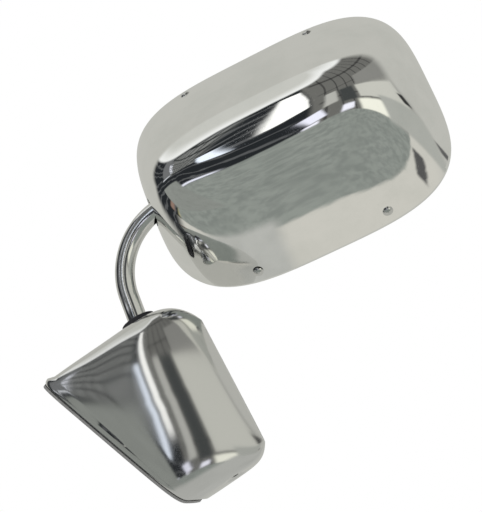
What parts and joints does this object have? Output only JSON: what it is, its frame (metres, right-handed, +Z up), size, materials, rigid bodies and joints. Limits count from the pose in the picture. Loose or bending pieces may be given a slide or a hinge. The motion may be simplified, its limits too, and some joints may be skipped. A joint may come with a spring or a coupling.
{
  "type": "vehicle door mirror",
  "caption": "Chromed door mirror with a wedge base, a bent swinging arm and a rectangular head that turns and tilts.",
  "frame": {"origin": "centre of the circle of door holes, on the face of the base gasket that meets the door", "axes": "+Z up, +X outboard from the door, -Y towards the front of the vehicle; the glass faces +Y"},
  "size_m": [0.367, 0.0908, 0.3193],
  "materials": {
    "black_rubber": "matt black moulded rubber",
    "zinc_steel": "zinc plated pressed steel",
    "cover_chrome": "bright chrome on die casting, lightly hazed",
    "tube_chrome": "bright chrome on drawn tube",
    "shell_chrome": "bright chrome on pressed steel, lightly hazed",
    "steel_screw": "plain machined steel",
    "bronze_bush": "oiled sintered bronze",
    "spring_steel": "dark spring steel",
    "rivet_steel": "bright domed rivet heads",
    "mirror_glass": "silvered flat glass"
  },
  "bodies": {
    "base": {"base_gasket": "black_rubber", "base_bracket": "zinc_steel", "base_cover": "cover_chrome", "arm_grommet": "black_rubber", "cover_screw": "steel_screw", "cover_screw_nut": "steel_screw", "upper_bushing": "bronze_bush", "lower_bushing": "bronze_bush"},
    "arm": {"arm_tube": "tube_chrome", "arm_stem": "zinc_steel", "arm_eye": "zinc_steel", "swing_collar": "zinc_steel", "swing_washer": "steel_screw", "swing_spring": "spring_steel", "swing_cup": "steel_screw", "swing_nut": "steel_screw"},
    "knuckle": {"knuckle_yoke": "zinc_steel", "turn_pin": "steel_screw", "turn_washer": "steel_screw", "turn_nut": "steel_screw", "tilt_washer_inner": "steel_screw", "tilt_washer_outer": "steel_screw", "tilt_spring": "spring_steel", "tilt_cup": "steel_screw", "tilt_nut": "steel_screw"},
    "head": {"head_shell": "shell_chrome", "head_bracket": "zinc_steel", "shell_rivets": "rivet_steel", "glass_gasket": "black_rubber", "mirror_glass": "mirror_glass", "glass_backing": "zinc_steel"}
  },
  "joints": [
    {"name": "arm_swing", "type": "hinge", "parent": "base", "child": "arm", "pos_m": [0.0465, 0, 0], "axis": [0, 0, 1], "range_deg": [-60, 60]},
    {"name": "head_turn", "type": "hinge", "parent": "arm", "child": "knuckle", "pos_m": [0.1295, 0, 0.1625], "axis": [0, 0, 1], "range_deg": [-10, 10]},
    {"name": "head_tilt", "type": "hinge", "parent": "knuckle", "child": "head", "pos_m": [0.1295, 0, 0.1625], "axis": [1, 0, 0], "range_deg": [-10, 10]}
  ]
}
